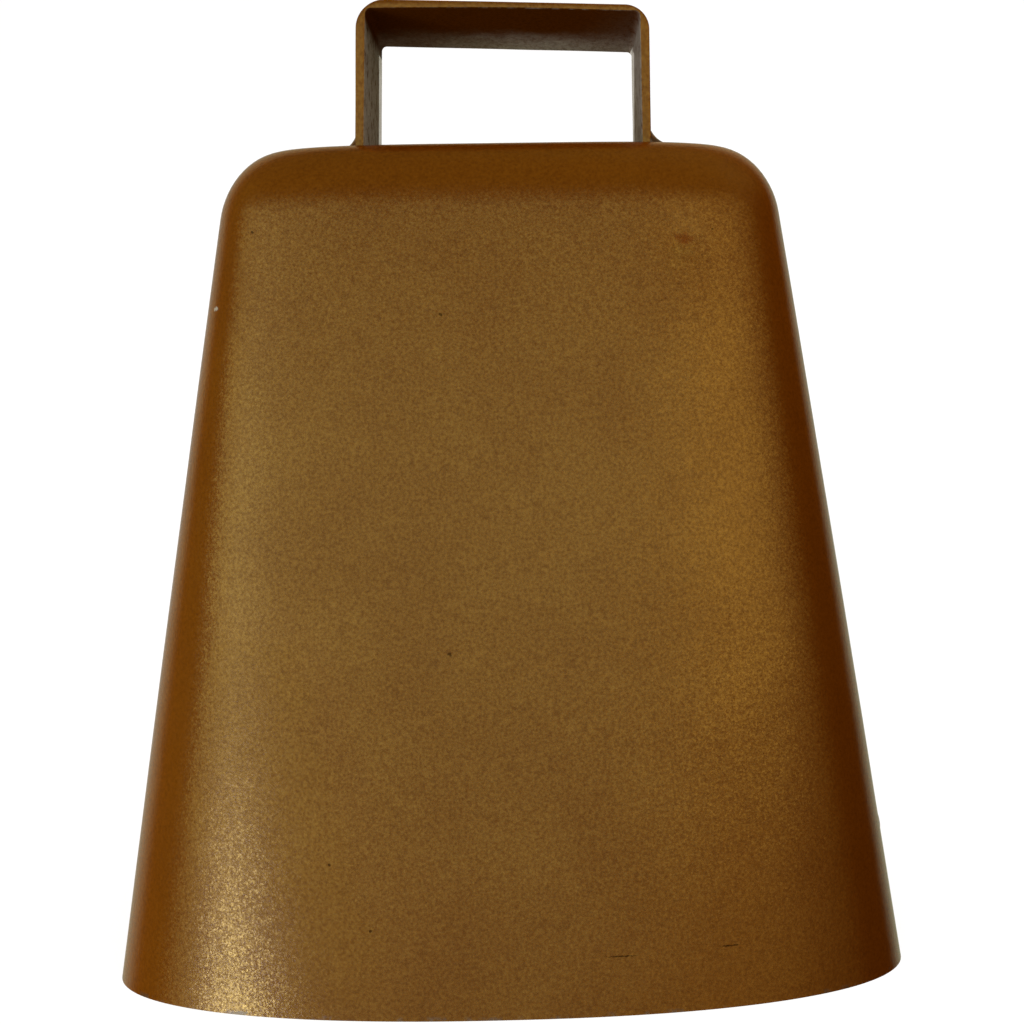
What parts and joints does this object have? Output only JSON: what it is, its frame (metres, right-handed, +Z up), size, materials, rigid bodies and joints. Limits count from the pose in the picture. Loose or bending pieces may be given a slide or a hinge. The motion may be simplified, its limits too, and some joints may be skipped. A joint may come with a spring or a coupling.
{
  "type": "cowbell",
  "caption": "Tapered pressed-steel cowbell with riveted side seams, a square strap handle and a clapper hung on a wire link, in satin gold paint.",
  "frame": {"origin": "centre of the mouth, on the plane of the rim that the bell stands on", "axes": "+Z up from the mouth to the handle, +X along the mouth's long side to the bell's right as seen from the front, the front face towards -Y"},
  "size_m": [0.135, 0.0574, 0.1646],
  "materials": {
    "shell_paint": "satin gold-copper metallic spray paint on sheet steel",
    "rivet_paint": "the same satin gold-copper paint over steel rivets",
    "handle_paint": "satin gold-copper paint, thin inside the loop where bare steel shows",
    "weld": "thinly painted grey weld bead",
    "wire_steel": "drawn steel wire, dull",
    "clapper_steel": "plain steel, dull and slightly worn"
  },
  "bodies": {
    "bell": {"front_shell": "shell_paint", "back_shell": "shell_paint", "rivet_left_low": "rivet_paint", "rivet_left_mid": "rivet_paint", "rivet_left_high": "rivet_paint", "rivet_right_low": "rivet_paint", "rivet_right_mid": "rivet_paint", "rivet_right_high": "rivet_paint", "handle_strap": "handle_paint", "handle_weld_left": "weld", "handle_weld_right": "weld", "clapper_staple": "wire_steel"},
    "link": {"clapper_link": "wire_steel"},
    "clapper": {"clapper_stem": "clapper_steel", "clapper_ball": "clapper_steel"}
  },
  "joints": [
    {"name": "link_swing", "type": "hinge", "parent": "bell", "child": "link", "pos_m": [0.00132, 0, 0.1249], "axis": [1, 0, 0], "range_deg": [-8, 8]},
    {"name": "clapper_swing", "type": "hinge", "parent": "link", "child": "clapper", "pos_m": [0.00132, 0, 0.1143], "axis": [0, 1, 0], "range_deg": [-21, 21]}
  ]
}
